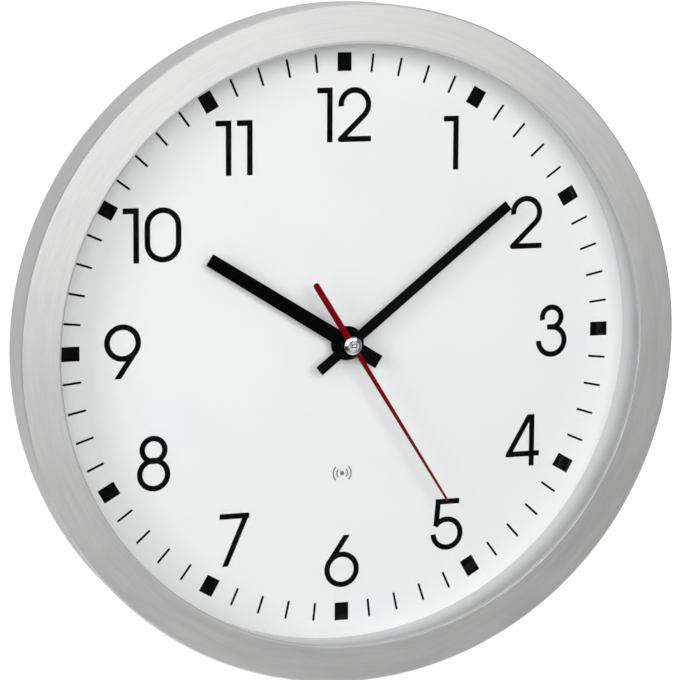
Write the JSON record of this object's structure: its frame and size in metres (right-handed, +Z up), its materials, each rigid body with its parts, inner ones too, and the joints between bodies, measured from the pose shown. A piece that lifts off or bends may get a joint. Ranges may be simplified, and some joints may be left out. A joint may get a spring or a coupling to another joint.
{
  "type": "radio-controlled wall clock",
  "caption": "Round wall clock with a brushed aluminium case ring, white dial with numerals, three hands and a radio-controlled quartz movement behind it.",
  "frame": {"origin": "centre of the round hanging hole, at its mouth on the wall plane", "axes": "+Y into the wall, +Z up, +X to the right of a viewer who faces the dial; the dial faces -Y"},
  "size_m": [0.3, 0.0441, 0.3],
  "materials": {
    "brushed_aluminium": "concentric brushing, clear anodised",
    "clear_glass": "polished flat mineral glass",
    "white_plastic": "moulded satin",
    "dial_white": "matt white print",
    "black_ink": "matt screen print",
    "grey_ink": "matt screen print",
    "black_plastic": "fine moulded grain",
    "movement_plastic": "moulded",
    "gear_plastic": "moulded acetal",
    "button_plastic": "moulded",
    "board_green": "solder mask",
    "cell_wrapper": "shrink film",
    "steel": "zinc plated",
    "chrome": "polished",
    "brass": "turned",
    "copper_wire": "enamelled winding",
    "ferrite": "sintered",
    "black_rubber": "moulded",
    "black_lacquer": "satin lacquer",
    "red_lacquer": "satin lacquer"
  },
  "bodies": {
    "clock_body": {"case_ring": "brushed_aluminium", "front_glass": "clear_glass", "glass_gasket": "white_plastic", "spacer_ring": "white_plastic", "dial_plate": "dial_white", "dial_numerals": "black_ink", "hour_blocks": "black_ink", "minute_strokes": "black_ink", "reception_mark": "grey_ink", "case_back": "black_plastic", "case_screws": "steel", "rubber_washer": "black_rubber", "brass_washer": "brass", "fixing_nut": "brass", "movement_front_case": "movement_plastic", "movement_back_case": "movement_plastic", "gear_plate": "white_plastic", "circuit_board": "board_green", "receiver_chip": "black_plastic", "quartz_crystal": "steel", "light_barrier": "black_plastic", "seconds_stator": "steel", "seconds_coil": "copper_wire", "minutes_stator": "steel", "minutes_coil": "copper_wire", "ferrite_rod": "ferrite", "antenna_coil": "copper_wire", "positive_contact": "steel", "negative_contact": "steel"},
    "second_hand": {"second_hand": "red_lacquer", "second_hand_socket": "chrome", "second_arbor": "steel", "second_wheel": "gear_plastic"},
    "seconds_intermediate": {"seconds_intermediate_wheel": "gear_plastic"},
    "seconds_rotor": {"seconds_rotor": "gear_plastic", "seconds_magnet": "ferrite"},
    "minute_hand": {"minute_hand": "black_lacquer", "minute_wheel": "gear_plastic"},
    "minutes_third": {"minutes_third_wheel": "gear_plastic"},
    "minutes_intermediate": {"minutes_intermediate_wheel": "gear_plastic"},
    "minutes_rotor": {"minutes_rotor": "gear_plastic", "minutes_magnet": "ferrite"},
    "motion_wheel": {"motion_wheel": "gear_plastic"},
    "hour_hand": {"hour_hand": "black_lacquer", "hour_wheel": "gear_plastic"},
    "battery_cell": {"battery_cell": "cell_wrapper"},
    "set_button": {"set_button": "button_plastic"},
    "search_button": {"search_button": "button_plastic"},
    "reset_button": {"reset_button": "button_plastic"}
  },
  "joints": [
    {"name": "second_hand_turn", "type": "hinge", "parent": "clock_body", "child": "second_hand", "pos_m": [0, 0, -0.105], "axis": [0, 1, 0], "continuous": true},
    {"name": "seconds_intermediate_turn", "type": "hinge", "parent": "clock_body", "child": "seconds_intermediate", "pos_m": [-0.0072, 0, -0.105], "axis": [0, 1, 0], "continuous": true},
    {"name": "seconds_rotor_turn", "type": "hinge", "parent": "clock_body", "child": "seconds_rotor", "pos_m": [-0.01378, 0, -0.10739], "axis": [0, 1, 0], "continuous": true},
    {"name": "minute_hand_turn", "type": "hinge", "parent": "clock_body", "child": "minute_hand", "pos_m": [0, 0, -0.105], "axis": [0, 1, 0], "continuous": true},
    {"name": "minutes_third_turn", "type": "hinge", "parent": "clock_body", "child": "minutes_third", "pos_m": [0.0072, 0, -0.105], "axis": [0, 1, 0], "continuous": true},
    {"name": "minutes_intermediate_turn", "type": "hinge", "parent": "clock_body", "child": "minutes_intermediate", "pos_m": [0.0117, 0, -0.11036], "axis": [0, 1, 0], "continuous": true},
    {"name": "minutes_rotor_turn", "type": "hinge", "parent": "clock_body", "child": "minutes_rotor", "pos_m": [0.01776, 0, -0.10686], "axis": [0, 1, 0], "continuous": true},
    {"name": "motion_wheel_turn", "type": "hinge", "parent": "clock_body", "child": "motion_wheel", "pos_m": [-0.006, 0, -0.105], "axis": [0, 1, 0], "continuous": true},
    {"name": "hour_hand_turn", "type": "hinge", "parent": "clock_body", "child": "hour_hand", "pos_m": [0, 0, -0.105], "axis": [0, 1, 0], "continuous": true},
    {"name": "battery_slide", "type": "slide", "parent": "clock_body", "child": "battery_cell", "axis": [0, 1, 0], "range_m": [0, 0.03]},
    {"name": "set_button_press", "type": "slide", "parent": "clock_body", "child": "set_button", "axis": [0, -1, 0], "range_m": [0, 0.0007], "stiffness_N_per_m": 300, "springref_m": -0.0005},
    {"name": "search_button_press", "type": "slide", "parent": "clock_body", "child": "search_button", "axis": [0, -1, 0], "range_m": [0, 0.0007], "stiffness_N_per_m": 300, "springref_m": -0.0005},
    {"name": "reset_button_press", "type": "slide", "parent": "clock_body", "child": "reset_button", "axis": [0, -1, 0], "range_m": [0, 0.0007], "stiffness_N_per_m": 300, "springref_m": -0.0005}
  ],
  "couplings": [
    {"joint": "seconds_intermediate_turn", "follows": "second_hand_turn", "ratio": -5},
    {"joint": "seconds_rotor_turn", "follows": "second_hand_turn", "ratio": 30},
    {"joint": "minutes_third_turn", "follows": "minute_hand_turn", "ratio": -5},
    {"joint": "minutes_intermediate_turn", "follows": "minute_hand_turn", "ratio": 30},
    {"joint": "minutes_rotor_turn", "follows": "minute_hand_turn", "ratio": -180},
    {"joint": "motion_wheel_turn", "follows": "minute_hand_turn", "ratio": -0.33333},
    {"joint": "hour_hand_turn", "follows": "minute_hand_turn", "ratio": 0.083333}
  ]
}
